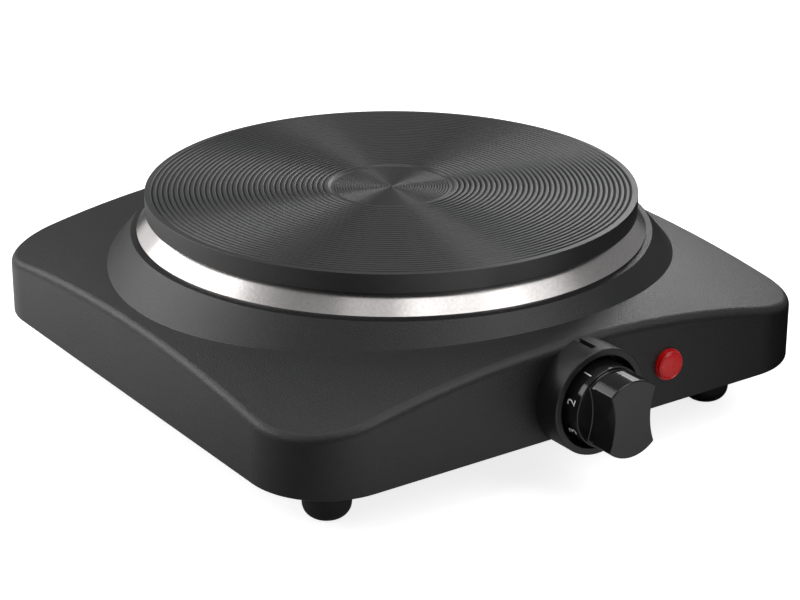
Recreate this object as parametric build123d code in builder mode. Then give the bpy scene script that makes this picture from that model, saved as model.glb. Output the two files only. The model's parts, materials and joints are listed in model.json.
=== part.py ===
"""Single electric hot plate: a cast-iron plate on a domed steel housing, with one rotary thermostat.

Millimetres. The origin is on the table, below the centre of the plate. +Z is up and the knob
faces -Y. Distances "out" are measured from the outside of the front wall, along -Y.
"""
import os
from math import degrees, radians, sin, sqrt, tan

from build123d import *

# Clearances
seat_gap = 0.1  # between a piece and the pocket or hole that holds it
running_gap = 0.05  # radial, between a turning or sliding shaft and its bore
touch_gap = 0.15  # between pieces that push on each other but belong to different bodies

# Cast-iron plate
plate_diameter = 185.0
plate_rim_height = 8.0
plate_rim_land = 6.9  # upright side of the rim
plate_rim_taper = 2.5  # below it the rim draws in by this much
plate_edge_round = 0.35
plate_face = 6.0  # thickness of the heated face
plate_wall = 4.5  # walls below the face that hold the element
plate_wall_inset = 6.0  # from the rim to the outside of the outer wall
plate_wall_depth = 18.0  # from the cooking face down to the foot of the walls
recess_diameter = 46.8
recess_depth = 0.6
hub_radius = 25.0
boss_radius = 9.0
groove_pitch = 2.0
groove_width = 1.2
groove_depth = 0.33
groove_inset = 2.2  # from the edge of the recess to the middle of the first groove
groove_margin = 2.5  # least distance from the rim to the middle of the last groove

# Stainless trim ring under the rim of the plate
ring_sheet = 0.8
ring_height = 6.2
ring_flare = 5.9  # how much wider it is at its foot than under the rim
ring_overlap = 3.0  # flange tucked under the rim
ring_stand = 0.9  # short hem that keeps the flared edge off the housing

# Housing, one pressed steel sheet
sheet = 1.0
foot_height = 19.3  # table to the lower edge of the housing
crown_height = 45.0  # lower edge to the crown of the domed top, before the opening is cut
crown_radius_x = 425.0
crown_radius_y = 650.0
housing_corner = 29.4
housing_margin = 16.5  # from the top of the raised skirt to the wall
edge_round = 3.3
hem_round = 0.8  # along the lower edge
skirt_clearance = 5.7  # the top of the skirt lies this far outside the plate
skirt_sink = 2.1  # the top of the skirt lies this far below the crown
skirt_angle = 49.5  # its slope, from the horizontal
skirt_depth = 14.5  # how far its cone reaches down, to end under the dome
opening_lip = 8.2  # flat lip around the opening
flange_width = 12.0  # sheet turned in along the lower edge

# Bottom cover, feet and their fasteners
cover_margin = 4.0
cover_screw_inset = 8.5
cover_screw_spacing = 90.0
cover_screw_radius = 1.5
vent_length = 44.0
vent_width = 5.0
vent_pitch = 14.0
vent_count = 7
vent_rows_apart = 76.0
foot_top_radius = 9.4
foot_tip_radius = 5.3
foot_tip_height = 4.5
foot_shoulder_radius = 8.6
foot_tip_lean = 0.45  # rise over run where the rounded tip leaves the table
foot_screw_radius = 2.0
foot_screw_seat = 8.0  # height of the screw's seat inside the foot
foot_pocket_radius = 4.2
foot_nut_height = 3.2
foot_nut_across = 7.0

# Control knob, its collar and the indicator lamp, all on the front wall
knob_height = 15.5  # above the lower edge of the housing
collar_radius = 19.35
collar_bore = 16.7
collar_reach = 11.1
collar_floor = 2.0
collar_rim_round = 0.45
index_width = 2.3
index_offset = -0.9
index_reach = 8.0
index_depth = 1.5
dial_radius = 14.6
dial_flare = 0.8  # the dial is this much wider at the back
dial_back = 4.8
dial_front = 16.6
dial_wall = 1.8
dial_edge_round = 0.35
neck_reach = 19.0
neck_radius = 13.5
neck_foot_round = 0.5
grip_reach = 28.4
grip_radius = 14.05
grip_waist = 15.4
grip_flank_radius = 27.8
grip_corner_round = 0.6
grip_edge_round = 0.5
hub_back = 3.6
knob_hub_radius = 6.2
lamp_offset = 39.6
lamp_height = 16.0
lens_flange_radius = 5.85
lens_flange = 0.9
lens_radius = 5.4
lens_rim = 2.2  # reach of the flat ring around the dome
lens_rim_round = 0.35
lens_groove = 0.5  # ring groove between the rim and the dome
lens_groove_depth = 0.2
lens_dome_radius = 4.4
lens_reach = 2.7
lens_barrel_radius = 4.4
lens_barrel = 15.0
lens_wall = 1.0
lens_face = 1.5
neon_radius = 2.6
neon_length = 10.0
neon_tip_round = 2.1
push_nut_radius = 8.0
push_nut_sheet = 0.6

# Rotary thermostat behind the front wall
spindle_radius = 3.0
spindle_flat = 2.2  # from the axis to the flat
spindle_in_knob = 23.5  # how far out the spindle ends
clip_sheet = 0.4
clip_length = 8.0
clip_width = 3.2
bush_radius = 4.0
bush_flange_radius = 6.5
bush_flange = 4.0
bush_out = 2.6
bush_end_wall = 2.1  # closes the bush around the push pin
pin_radius = 1.4
pin_travel = 0.6
pin_proud = 1.4  # from the end of the bush to the leaf
pin_tip_round = 0.7
bracket_sheet = 1.5
bracket_half_height = 9.0
bracket_margin = 6.0
bracket_edge = 1.0
fixing_spacing = 22.0
fixing_radius = 1.5
stack_offset = -18.0  # riveted stack of leaves and insulators
insulator_radius = 4.5
insulator_last = 3.0
rivet_radius = 1.6
rivet_head = 0.8
leaf_sheet = 0.4
leaf_width = 6.0
leaf_root = -12.0  # the leaf bends here
contact_offset = 12.0
contact_radius = 2.0
contact_thickness = 1.0
contact_clearance = 0.2  # left between the contacts at the end of the pin's travel
carrier_sheet = 0.8
bimetal_sheet = 1.0
blade_length = 14.0
blade_width = 6.3

# What holds the plate down, and its wiring
stud_radius = 3.0
stud_grip = 9.0  # thread inside the boss of the plate
stud_tail = 2.0
undercover_sheet = 0.8
nut_height = 5.0
nut_across = 10.0
thin_nut_height = 3.0
washer_radius = 6.5
washer_sheet = 1.5
bridge_width = 32.0
bridge_sheet = 2.5
bridge_drop = 11.2  # from its ends down to its flat middle
bridge_foot = 4.5  # flat at each end
bridge_bearing = 3.5  # how far each end reaches under the lip
bridge_slope = 9.0
coil_radius = 2.2
coil_first = 32.0
coil_margin = 6.0  # from the outer wall of the channel to the middle of the last turn
coil_turns = 4
coil_depth = 10.3  # below the cooking face
pin_terminal_radius = 1.5
pin_terminal_drop = 8.5
pin_bush_radius = 5.0
pin_bush_spigot = 3.5
pin_bush_height = 2.0
block_length = 34.0
block_width = 16.0
block_height = 14.0
block_inset = 30.0  # from the bend of the bridge to the middle of the block
insert_pitch = 10.0
insert_radius = 2.5
insert_bore = 1.4
clamp_screw_radius = 1.2
clamp_screw_length = 3.5
block_screw_radius = 1.5
earth_inset = 35.0  # from the bend of the bridge to the earth screw
earth_screw_radius = 2.0
lug_radius = 4.5
lug_sheet = 0.8
lug_tail = 2.5  # how far the lug shows past the edge of the bridge
wire_radius = 1.1
wire_bend = 6.0
wire_entry = 4.4  # length of a wire inside its insert
wire_straight = 1.5  # least straight run before a lug
lead_radius = 0.7
lead_spread = 1.3
gland_height = 14.0
gland_bore = 4.0
gland_neck = 6.0
gland_flange_radius = 9.0
gland_flange = 3.0
gland_inner_radius = 8.0
gland_inner = 2.0

# Pan-head screws: shares of the thread's radius, and how far a tip shows past what it holds
head_ratio = 1.9
head_height_ratio = 1.25
head_round_ratio = 0.55
cross_length_ratio = 2.2
cross_width_ratio = 0.35
cross_depth_ratio = 0.7
screw_tip = 1.2

# Places worked out from the sizes above
plate_radius = plate_diameter / 2
skirt_radius = plate_radius + skirt_clearance
housing_half = skirt_radius + housing_margin
lower_edge = foot_height
crown_z = lower_edge + crown_height
skirt_z = crown_z - skirt_sink
opening_radius = skirt_radius - opening_lip
rim_foot_radius = plate_radius - plate_rim_taper
ring_foot_z = skirt_z + ring_stand
rim_foot_z = ring_foot_z + ring_height
plate_top_z = rim_foot_z + plate_rim_height
channel_roof_z = plate_top_z - plate_face
wall_foot_z = plate_top_z - plate_wall_depth
outer_wall_radius = plate_radius - plate_wall_inset
channel_radius = outer_wall_radius - plate_wall
cover_top_z = lower_edge
cover_bottom_z = cover_top_z - sheet
cover_half = housing_half - cover_margin
foot_place = housing_half - housing_corner
cover_screw_place = housing_half - cover_screw_inset

front_y = -housing_half
knob_z = lower_edge + knob_height
lamp_z = lower_edge + lamp_height
stack_start = sheet + bracket_sheet  # this and the next ones are distances in from the front face
leaf_in = stack_start + bush_flange + pin_proud
contact_swing = pin_travel * (contact_offset - leaf_root) / -leaf_root
contact_gap = contact_swing + contact_clearance
carrier_in = leaf_in + leaf_sheet + 2 * contact_thickness + contact_gap
bush_end_in = stack_start + bush_flange
spindle_end_in = bush_end_in - bush_end_wall - running_gap
stack_end_in = carrier_in + carrier_sheet + insulator_last

undercover_z = wall_foot_z - undercover_sheet
bridge_end_z = skirt_z - sheet
bridge_top_z = bridge_end_z - bridge_drop
bridge_z = bridge_top_z - bridge_sheet
bridge_half = opening_radius + bridge_bearing
bridge_bend = bridge_half - bridge_foot
bridge_flat = bridge_bend - bridge_slope
block_offset = block_inset - bridge_flat
earth_offset = bridge_flat - earth_inset
gland_offset = block_offset
washer_z = bridge_z - washer_sheet
nut_z = washer_z - nut_height
coil_z = plate_top_z - coil_depth
coil_last = channel_radius - coil_margin
coil_pitch = (coil_last - coil_first) / coil_turns
terminal_places = ((0, -coil_first), (0, -coil_last))
terminal_z = undercover_z - pin_terminal_drop
insert_z = bridge_z - block_height / 2
insert_places = tuple(block_offset + step * insert_pitch for step in (-1, 0, 1))
gland_z = lower_edge + gland_height
lug_length = bridge_width / 2 + lug_tail

# Planes on the front wall: (x, z) sketches facing out, and (radius, out) sketches for turned parts
knob_face = Plane(origin=(0, front_y, knob_z), x_dir=(1, 0, 0), z_dir=(0, -1, 0))
knob_section = Plane(origin=(0, front_y, knob_z), x_dir=(0, 0, 1), z_dir=(1, 0, 0))
knob_axis = Axis((0, front_y, knob_z), (0, -1, 0))
lamp_section = Plane(origin=(lamp_offset, front_y, lamp_z), x_dir=(0, 0, 1), z_dir=(1, 0, 0))
lamp_axis = Axis((lamp_offset, front_y, lamp_z), (0, -1, 0))
gland_section = Plane(origin=(gland_offset, housing_half, gland_z), x_dir=(0, 0, 1), z_dir=(-1, 0, 0))
gland_axis = Axis((gland_offset, housing_half, gland_z), (0, 1, 0))


def finish(builder, name):
    """Label a finished piece and write it."""
    builder.part.label = name
    export_step(builder.part, f"parts/{name}.step")


def outline(section, *points):
    """A closed outline of (radius, height) points on a section plane, ready to be turned."""
    with BuildSketch(section) as profile:
        with BuildLine():
            Polyline(*points, close=True)
        make_face()
    return profile.sketch


def pan_screw(radius, length):
    """A pan-head screw along +Z, its head below the origin and its shank above."""
    head = radius * head_ratio
    height = radius * head_height_ratio
    with BuildPart() as screw:
        with BuildSketch(Plane.XY.offset(-height)):
            Circle(head)
        extrude(amount=height)
        fillet(screw.edges().group_by(Axis.Z)[0], radius * head_round_ratio)
        with BuildSketch(Plane.XY.offset(-height)):
            Rectangle(radius * cross_length_ratio, radius * cross_width_ratio)
            Rectangle(radius * cross_width_ratio, radius * cross_length_ratio)
        extrude(amount=radius * cross_depth_ratio, mode=Mode.SUBTRACT)
        with BuildSketch(Plane.XY):
            Circle(radius)
        extrude(amount=length)
    return screw.part


def housing_form(inset):
    """Solid inside the housing's outer skin, drawn in by inset all over."""
    half = housing_half - inset
    top = crown_z - inset
    arc_x = crown_radius_x - inset
    arc_y = crown_radius_y - inset
    reach = 1.25 * housing_half
    drop = arc_x - sqrt(arc_x**2 - reach**2)
    skirt_top = skirt_z - inset
    skirt_top_radius = skirt_radius + inset / tan(radians(skirt_angle)) - inset / sin(radians(skirt_angle))
    skirt_foot_radius = skirt_top_radius + skirt_depth / tan(radians(skirt_angle))
    below = lower_edge - crown_height
    with BuildPart() as form:
        with BuildSketch(Plane.XY.offset(lower_edge)):
            RectangleRounded(2 * half, 2 * half, housing_corner - inset)
        extrude(amount=crown_height)
        with BuildSketch(Plane.XZ):
            with BuildLine():
                ThreePointArc((-reach, top - drop), (0, top), (reach, top - drop))
                Polyline((reach, top - drop), (reach, below), (-reach, below), (-reach, top - drop))
            make_face()
        crown_axis = Axis((0, 0, top - arc_y), (1, 0, 0))
        swing = degrees(2 * reach / crown_radius_y)
        barrel = revolve(axis=crown_axis, revolution_arc=swing, mode=Mode.PRIVATE)
        add(barrel.rotate(crown_axis, -swing / 2), mode=Mode.INTERSECT)
        fillet(form.faces().sort_by(Axis.Z)[-1].edges(), edge_round - inset)
        revolve(outline(Plane.XZ, (0, skirt_top - skirt_depth), (skirt_foot_radius, skirt_top - skirt_depth),
                        (skirt_top_radius, skirt_top), (0, skirt_top)), axis=Axis.Z)
    return form.part


os.makedirs("parts", exist_ok=True)
housing_outside = housing_form(0)

# Pressed housing: domed top, raised skirt around the opening, flange along the lower edge
with BuildPart() as housing:
    add(housing_outside)
    add(housing_form(sheet), mode=Mode.SUBTRACT)
    with BuildSketch(Plane.XY.offset(lower_edge)):
        RectangleRounded(2 * housing_half, 2 * housing_half, housing_corner)
        RectangleRounded(2 * (housing_half - flange_width), 2 * (housing_half - flange_width),
                         housing_corner - flange_width, mode=Mode.SUBTRACT)
    extrude(amount=sheet)
    with BuildSketch(Plane.XY.offset(skirt_z - 2 * sheet)):
        Circle(opening_radius)
    extrude(amount=crown_height, mode=Mode.SUBTRACT)
    with BuildSketch(knob_face):
        Circle(bush_radius + seat_gap)
        with GridLocations(fixing_spacing, 1, 2, 1):
            Circle(fixing_radius + seat_gap)
        with Locations((lamp_offset, lamp_z - knob_z)):
            Circle(lens_barrel_radius + seat_gap)
    extrude(amount=-2 * sheet, mode=Mode.SUBTRACT)
    with BuildSketch(Plane(origin=(gland_offset, housing_half, gland_z), x_dir=(-1, 0, 0), z_dir=(0, 1, 0))):
        Circle(gland_neck + seat_gap)
    extrude(amount=-2 * sheet, mode=Mode.SUBTRACT)
    with BuildSketch(Plane.XY.offset(lower_edge)):
        with GridLocations(cover_screw_spacing, 2 * cover_screw_place, 2, 2):
            Circle(cover_screw_radius + seat_gap)
        with GridLocations(2 * cover_screw_place, 1, 2, 1):
            Circle(cover_screw_radius + seat_gap)
    extrude(amount=sheet, mode=Mode.SUBTRACT)
    fillet(housing.faces().sort_by(Axis.Z)[0].outer_wire().edges(), hem_round)
finish(housing, "housing")

# Bottom cover with two rows of vents
with BuildPart() as bottom_cover:
    with BuildSketch(Plane.XY.offset(cover_bottom_z)):
        RectangleRounded(2 * cover_half, 2 * cover_half, housing_corner - cover_margin)
        with GridLocations(vent_pitch, vent_rows_apart, vent_count, 2):
            SlotOverall(vent_length, vent_width, rotation=90, mode=Mode.SUBTRACT)
        with GridLocations(2 * foot_place, 2 * foot_place, 2, 2):
            Circle(foot_screw_radius + seat_gap, mode=Mode.SUBTRACT)
        with GridLocations(cover_screw_spacing, 2 * cover_screw_place, 2, 2):
            Circle(cover_screw_radius + seat_gap, mode=Mode.SUBTRACT)
        with GridLocations(2 * cover_screw_place, 1, 2, 1):
            Circle(cover_screw_radius + seat_gap, mode=Mode.SUBTRACT)
    extrude(amount=sheet)
finish(bottom_cover, "bottom_cover")

cover_screw = pan_screw(cover_screw_radius, 2 * sheet + screw_tip)
with BuildPart() as cover_screws:
    with Locations(Plane.XY.offset(cover_bottom_z)):
        with GridLocations(cover_screw_spacing, 2 * cover_screw_place, 2, 2):
            add(cover_screw)
        with GridLocations(2 * cover_screw_place, 1, 2, 1):
            add(cover_screw)
finish(cover_screws, "cover_screws")

# Rubber feet, each with a screw from below and a nut inside the cover
with BuildPart() as foot:
    with BuildSketch(Plane.XZ):
        with BuildLine():
            Polyline((foot_screw_radius + seat_gap, foot_screw_seat), (foot_pocket_radius, foot_screw_seat),
                     (foot_pocket_radius, 0), (foot_tip_radius, 0))
            TangentArc((foot_tip_radius, 0), (foot_shoulder_radius, foot_tip_height),
                       tangent=(1, foot_tip_lean))
            Polyline((foot_shoulder_radius, foot_tip_height), (foot_top_radius, cover_bottom_z),
                     (foot_screw_radius + seat_gap, cover_bottom_z),
                     (foot_screw_radius + seat_gap, foot_screw_seat))
        make_face()
    revolve(axis=Axis.Z)
with BuildPart() as feet:
    with GridLocations(2 * foot_place, 2 * foot_place, 2, 2):
        add(foot.part)
finish(feet, "feet")

foot_screw = pan_screw(foot_screw_radius, cover_top_z + foot_nut_height + screw_tip - foot_screw_seat)
with BuildPart() as foot_screws:
    with Locations(Plane.XY.offset(foot_screw_seat)):
        with GridLocations(2 * foot_place, 2 * foot_place, 2, 2):
            add(foot_screw)
finish(foot_screws, "foot_screws")

with BuildPart() as foot_nuts:
    with BuildSketch(Plane.XY.offset(cover_top_z)):
        with GridLocations(2 * foot_place, 2 * foot_place, 2, 2):
            RegularPolygon(foot_nut_across / 2, 6, major_radius=False)
            Circle(foot_screw_radius + seat_gap, mode=Mode.SUBTRACT)
    extrude(amount=foot_nut_height)
finish(foot_nuts, "foot_nuts")

# Cast plate: grooved face, tapered rim, and the walls of the channel that holds the element
groove_first = recess_diameter / 2 + groove_inset
groove_count = 1 + int((plate_radius - groove_margin - groove_first) / groove_pitch)
with BuildPart() as hot_plate:
    revolve(outline(Plane.XZ, (0, plate_top_z), (plate_radius, plate_top_z),
                    (plate_radius, plate_top_z - plate_rim_land), (rim_foot_radius, rim_foot_z),
                    (outer_wall_radius, rim_foot_z), (outer_wall_radius, wall_foot_z),
                    (channel_radius, wall_foot_z), (channel_radius, channel_roof_z),
                    (hub_radius, channel_roof_z), (hub_radius, wall_foot_z),
                    (hub_radius - plate_wall, wall_foot_z), (hub_radius - plate_wall, channel_roof_z),
                    (boss_radius, channel_roof_z), (boss_radius, wall_foot_z), (0, wall_foot_z)), axis=Axis.Z)
    fillet(hot_plate.edges().group_by(Axis.Z)[-1], plate_edge_round)
    with BuildSketch(Plane.XY.offset(plate_top_z)):
        Circle(recess_diameter / 2)
    extrude(amount=-recess_depth, mode=Mode.SUBTRACT)
    with BuildSketch(Plane.XZ):
        for ring in range(groove_count):
            middle = groove_first + ring * groove_pitch
            with BuildLine():
                Polyline((middle - groove_width / 2, plate_top_z), (middle, plate_top_z - groove_depth),
                         (middle + groove_width / 2, plate_top_z), close=True)
            make_face()
    revolve(axis=Axis.Z, mode=Mode.SUBTRACT)
    with BuildSketch(Plane.XY.offset(wall_foot_z)):
        Circle(stud_radius + seat_gap)
    extrude(amount=stud_grip, mode=Mode.SUBTRACT)
finish(hot_plate, "hot_plate")

# Trim ring: flange under the rim, flared band, short hem standing on the housing's lip
ring_top_radius = rim_foot_radius
ring_foot_radius = ring_top_radius + ring_flare
ring_lean = ring_sheet * sqrt(1 + (ring_flare / ring_height) ** 2)
with BuildPart() as trim_ring:
    revolve(outline(Plane.XZ, (ring_top_radius - ring_overlap, rim_foot_z), (ring_top_radius, rim_foot_z),
                    (ring_foot_radius, ring_foot_z), (ring_foot_radius - ring_sheet, ring_foot_z),
                    (ring_foot_radius - ring_sheet, skirt_z), (ring_foot_radius - 2 * ring_sheet, skirt_z),
                    (ring_foot_radius - 2 * ring_sheet, ring_foot_z + ring_sheet),
                    (ring_top_radius - ring_lean, rim_foot_z - ring_sheet),
                    (ring_top_radius - ring_overlap, rim_foot_z - ring_sheet)), axis=Axis.Z)
finish(trim_ring, "trim_ring")

# Heating coil: a flat spiral of half circles, drawn as the round envelope of the coiled wire
with BuildPart() as heating_coil:
    with BuildLine(Plane.XY.offset(coil_z)) as spiral:
        for half_turn in range(2 * coil_turns):
            side = -1 if half_turn % 2 == 0 else 1
            start = side * (coil_first + half_turn * coil_pitch / 2)
            end = -side * (coil_first + (half_turn + 1) * coil_pitch / 2)
            ThreePointArc((0, start), (-side * abs(start - end) / 2, (start + end) / 2), (0, end))
    with BuildSketch(Plane(origin=spiral.line @ 0, z_dir=spiral.line % 0)):
        Circle(coil_radius)
    sweep()
finish(heating_coil, "heating_coil")
print("heating coil: gap between turns", round(coil_pitch - 2 * coil_radius, 2), "mm")

# Two terminal pins, from the ends of the coil down through the under-cover
with BuildPart() as terminal_pins:
    with BuildSketch(Plane.XY.offset(terminal_z)):
        with Locations(*terminal_places):
            Circle(pin_terminal_radius)
    extrude(amount=coil_z - coil_radius - terminal_z)
finish(terminal_pins, "terminal_pins")

with BuildPart() as pin_insulators:
    with BuildSketch(Plane.XY.offset(undercover_z - pin_bush_height)):
        with Locations(*terminal_places):
            Circle(pin_bush_radius)
    extrude(amount=pin_bush_height)
    with BuildSketch(Plane.XY.offset(undercover_z)):
        with Locations(*terminal_places):
            Circle(pin_bush_spigot)
    extrude(amount=undercover_sheet)
    with BuildSketch(Plane.XY.offset(undercover_z - pin_bush_height)):
        with Locations(*terminal_places):
            Circle(pin_terminal_radius + seat_gap)
    extrude(amount=pin_bush_height + undercover_sheet, mode=Mode.SUBTRACT)
finish(pin_insulators, "pin_insulators")

# Ceramic that embeds the coil in the plate's channel
with BuildPart() as ceramic_filler:
    with BuildSketch(Plane.XY.offset(wall_foot_z)):
        Circle(channel_radius - seat_gap)
        Circle(hub_radius + seat_gap, mode=Mode.SUBTRACT)
        with Locations(*terminal_places):
            Circle(pin_terminal_radius + seat_gap, mode=Mode.SUBTRACT)
    extrude(amount=channel_roof_z - wall_foot_z)
    add(heating_coil.part, mode=Mode.SUBTRACT)
finish(ceramic_filler, "ceramic_filler")

# Steel sheet that closes the plate from below
with BuildPart() as plate_undercover:
    with BuildSketch(Plane.XY.offset(undercover_z)):
        Circle(outer_wall_radius - seat_gap)
        Circle(stud_radius + seat_gap, mode=Mode.SUBTRACT)
        with Locations(*terminal_places):
            Circle(pin_bush_spigot + seat_gap, mode=Mode.SUBTRACT)
    extrude(amount=undercover_sheet)
finish(plate_undercover, "plate_undercover")

# Stud, bridge, washer and nuts that pull the plate down onto the housing
with BuildPart() as centre_stud:
    with BuildSketch(Plane.XY.offset(nut_z - stud_tail)):
        Circle(stud_radius)
    extrude(amount=wall_foot_z + stud_grip - nut_z + stud_tail - seat_gap)
finish(centre_stud, "centre_stud")

with BuildPart() as bridge_bracket:
    with BuildSketch(Plane.XZ):
        with BuildLine():
            Polyline((-bridge_half, bridge_end_z), (-bridge_bend, bridge_end_z), (-bridge_flat, bridge_top_z),
                     (bridge_flat, bridge_top_z), (bridge_bend, bridge_end_z), (bridge_half, bridge_end_z),
                     (bridge_half, bridge_end_z - bridge_sheet), (bridge_bend, bridge_end_z - bridge_sheet),
                     (bridge_flat, bridge_z), (-bridge_flat, bridge_z),
                     (-bridge_bend, bridge_end_z - bridge_sheet), (-bridge_half, bridge_end_z - bridge_sheet),
                     close=True)
        make_face()
    extrude(amount=bridge_width / 2, both=True)
    with BuildSketch(Plane.XY.offset(bridge_z)):
        Circle(stud_radius + seat_gap)
        with Locations((earth_offset, 0)):
            Circle(earth_screw_radius + seat_gap)
        with Locations((block_offset, 0)):
            with GridLocations(insert_pitch, 1, 2, 1):
                Circle(block_screw_radius + seat_gap)
    extrude(amount=bridge_sheet, mode=Mode.SUBTRACT)
finish(bridge_bracket, "bridge_bracket")

with BuildPart() as stud_washer:
    with BuildSketch(Plane.XY.offset(washer_z)):
        Circle(washer_radius)
        Circle(stud_radius + seat_gap, mode=Mode.SUBTRACT)
    extrude(amount=washer_sheet)
finish(stud_washer, "stud_washer")

with BuildPart() as stud_nuts:
    with BuildSketch(Plane.XY.offset(nut_z)):
        RegularPolygon(nut_across / 2, 6, major_radius=False)
        Circle(stud_radius + seat_gap, mode=Mode.SUBTRACT)
    extrude(amount=nut_height)
    with BuildSketch(Plane.XY.offset(undercover_z - thin_nut_height)):
        RegularPolygon(nut_across / 2, 6, major_radius=False)
        Circle(stud_radius + seat_gap, mode=Mode.SUBTRACT)
    extrude(amount=thin_nut_height)
finish(stud_nuts, "stud_nuts")

# Ceramic terminal block under the bridge, with brass inserts and clamp screws
with BuildPart() as terminal_block:
    with BuildSketch(Plane.XY.offset(bridge_z - block_height)):
        with Locations((block_offset, 0)):
            Rectangle(block_length, block_width)
            with GridLocations(insert_pitch, 1, 2, 1):
                Circle(block_screw_radius + seat_gap, mode=Mode.SUBTRACT)
    extrude(amount=block_height)
    with BuildSketch(Plane.XZ.offset(block_width / 2)):
        for place in insert_places:
            with Locations((place, insert_z)):
                Circle(insert_radius + seat_gap)
    extrude(amount=-block_width, mode=Mode.SUBTRACT)
    with BuildSketch(Plane.XY.offset(bridge_z - block_height)):
        for place in insert_places:
            with Locations((place, 0)):
                Circle(clamp_screw_radius + seat_gap)
    extrude(amount=block_height / 2, mode=Mode.SUBTRACT)
finish(terminal_block, "terminal_block")

with BuildPart() as block_inserts:
    with BuildSketch(Plane.XZ.offset(block_width / 2)):
        for place in insert_places:
            with Locations((place, insert_z)):
                Circle(insert_radius)
                Circle(insert_bore, mode=Mode.SUBTRACT)
    extrude(amount=-block_width)
    with BuildSketch(Plane.XY.offset(insert_z - 2 * insert_radius)):
        for place in insert_places:
            with Locations((place, 0)):
                Circle(clamp_screw_radius + seat_gap)
    extrude(amount=2 * insert_radius, mode=Mode.SUBTRACT)
finish(block_inserts, "block_inserts")

with BuildPart() as clamp_screws:
    with BuildSketch(Plane.XY.offset(insert_z - insert_bore)):
        for place in insert_places:
            with Locations((place, 0)):
                Circle(clamp_screw_radius)
    extrude(amount=-clamp_screw_length)
finish(clamp_screws, "clamp_screws")

block_screw = pan_screw(block_screw_radius, block_height + bridge_sheet + screw_tip)
with BuildPart() as block_screws:
    with Locations(Plane.XY.offset(bridge_z - block_height)):
        with Locations((block_offset, 0)):
            with GridLocations(insert_pitch, 1, 2, 1):
                add(block_screw)
finish(block_screws, "block_screws")

# Earth lug and its screw on the bridge
with BuildPart() as earth_lug:
    with BuildSketch(Plane.XY.offset(bridge_z)):
        with Locations((earth_offset, 0)):
            Circle(lug_radius)
        with Locations((earth_offset, -lug_length / 2)):
            Rectangle(2 * wire_radius, lug_length)
        with Locations((earth_offset, 0)):
            Circle(earth_screw_radius + seat_gap, mode=Mode.SUBTRACT)
    extrude(amount=-lug_sheet)
finish(earth_lug, "earth_lug")

earth_screw_part = pan_screw(earth_screw_radius, lug_sheet + bridge_sheet + screw_tip)
with BuildPart() as earth_screw:
    with Locations((earth_offset, 0, bridge_z - lug_sheet)):
        add(earth_screw_part)
finish(earth_screw, "earth_screw")

# Collar around the knob: a cup against the front wall, with an index groove on top
with BuildPart() as knob_collar:
    revolve(outline(knob_section, (bush_radius + seat_gap, -edge_round), (collar_radius, -edge_round),
                    (collar_radius, collar_reach), (collar_bore, collar_reach), (collar_bore, collar_floor),
                    (bush_radius + seat_gap, collar_floor)), axis=knob_axis)
    fillet(knob_collar.edges().group_by(Axis.Y)[0], collar_rim_round)
    with BuildSketch(knob_face.offset(collar_floor)):
        with GridLocations(fixing_spacing, 1, 2, 1):
            Circle(fixing_radius + seat_gap)
    extrude(amount=-collar_floor - edge_round, mode=Mode.SUBTRACT)
    with BuildSketch(Plane.XY.offset(lower_edge)):
        Rectangle(4 * collar_radius, 2 * housing_half)
    extrude(amount=-collar_radius, mode=Mode.SUBTRACT)
    add(housing_outside, mode=Mode.SUBTRACT)
    with BuildSketch(Plane.XY.offset(knob_z + collar_radius)):
        with Locations((index_offset, front_y + edge_round / 2 - (index_reach + edge_round / 2) / 2)):
            Rectangle(index_width, index_reach + edge_round / 2)
    extrude(amount=-index_depth, mode=Mode.SUBTRACT)
finish(knob_collar, "knob_collar")

# Knob: dial, neck and grip in one moulding, bored for the flatted spindle
with BuildPart() as control_knob:
    revolve(outline(knob_section, (0, hub_back), (knob_hub_radius, hub_back),
                    (knob_hub_radius, dial_front - dial_wall),
                    (dial_radius - dial_wall, dial_front - dial_wall),
                    (dial_radius + dial_flare - dial_wall, dial_back), (dial_radius + dial_flare, dial_back),
                    (dial_radius, dial_front), (0, dial_front)), axis=knob_axis)
    fillet(control_knob.edges().group_by(Axis.Y)[0], dial_edge_round)
    for start, end, radius in ((dial_front, neck_reach, neck_radius), (neck_reach, grip_reach, grip_radius)):
        with BuildSketch(knob_face.offset(start)) as grip_section:
            Circle(radius)
            with GridLocations(grip_waist + 2 * grip_flank_radius, 1, 2, 1):
                Circle(grip_flank_radius, mode=Mode.SUBTRACT)
            corners = grip_section.vertices().group_by(Axis.Y)
            fillet(corners[0] + corners[-1], grip_corner_round)
        extrude(amount=end - start)
    face_y = front_y - dial_front
    on_dial_face = control_knob.edges().filter_by_position(Axis.Y, face_y - seat_gap, face_y + seat_gap)
    fillet([edge for edge in on_dial_face if not edge.is_closed], neck_foot_round)
    fillet(control_knob.faces().sort_by(Axis.Y)[0].edges(), grip_edge_round)
    with BuildSketch(knob_face.offset(hub_back)):
        Circle(spindle_radius + running_gap)
        with Locations((0, spindle_flat + clip_sheet + running_gap + spindle_radius)):
            Rectangle(2 * spindle_radius, 2 * spindle_radius, mode=Mode.SUBTRACT)
    extrude(amount=spindle_in_knob + seat_gap - hub_back, mode=Mode.SUBTRACT)
finish(control_knob, "control_knob")

with BuildPart() as spindle:
    with BuildSketch(knob_face.offset(spindle_in_knob)):
        Circle(spindle_radius)
    extrude(amount=-spindle_in_knob - spindle_end_in)
    with BuildSketch(knob_face.offset(spindle_in_knob)):
        with Locations((0, spindle_flat + spindle_radius)):
            Rectangle(2 * spindle_radius, 2 * spindle_radius)
    extrude(amount=hub_back - spindle_in_knob, mode=Mode.SUBTRACT)
finish(spindle, "spindle")

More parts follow.
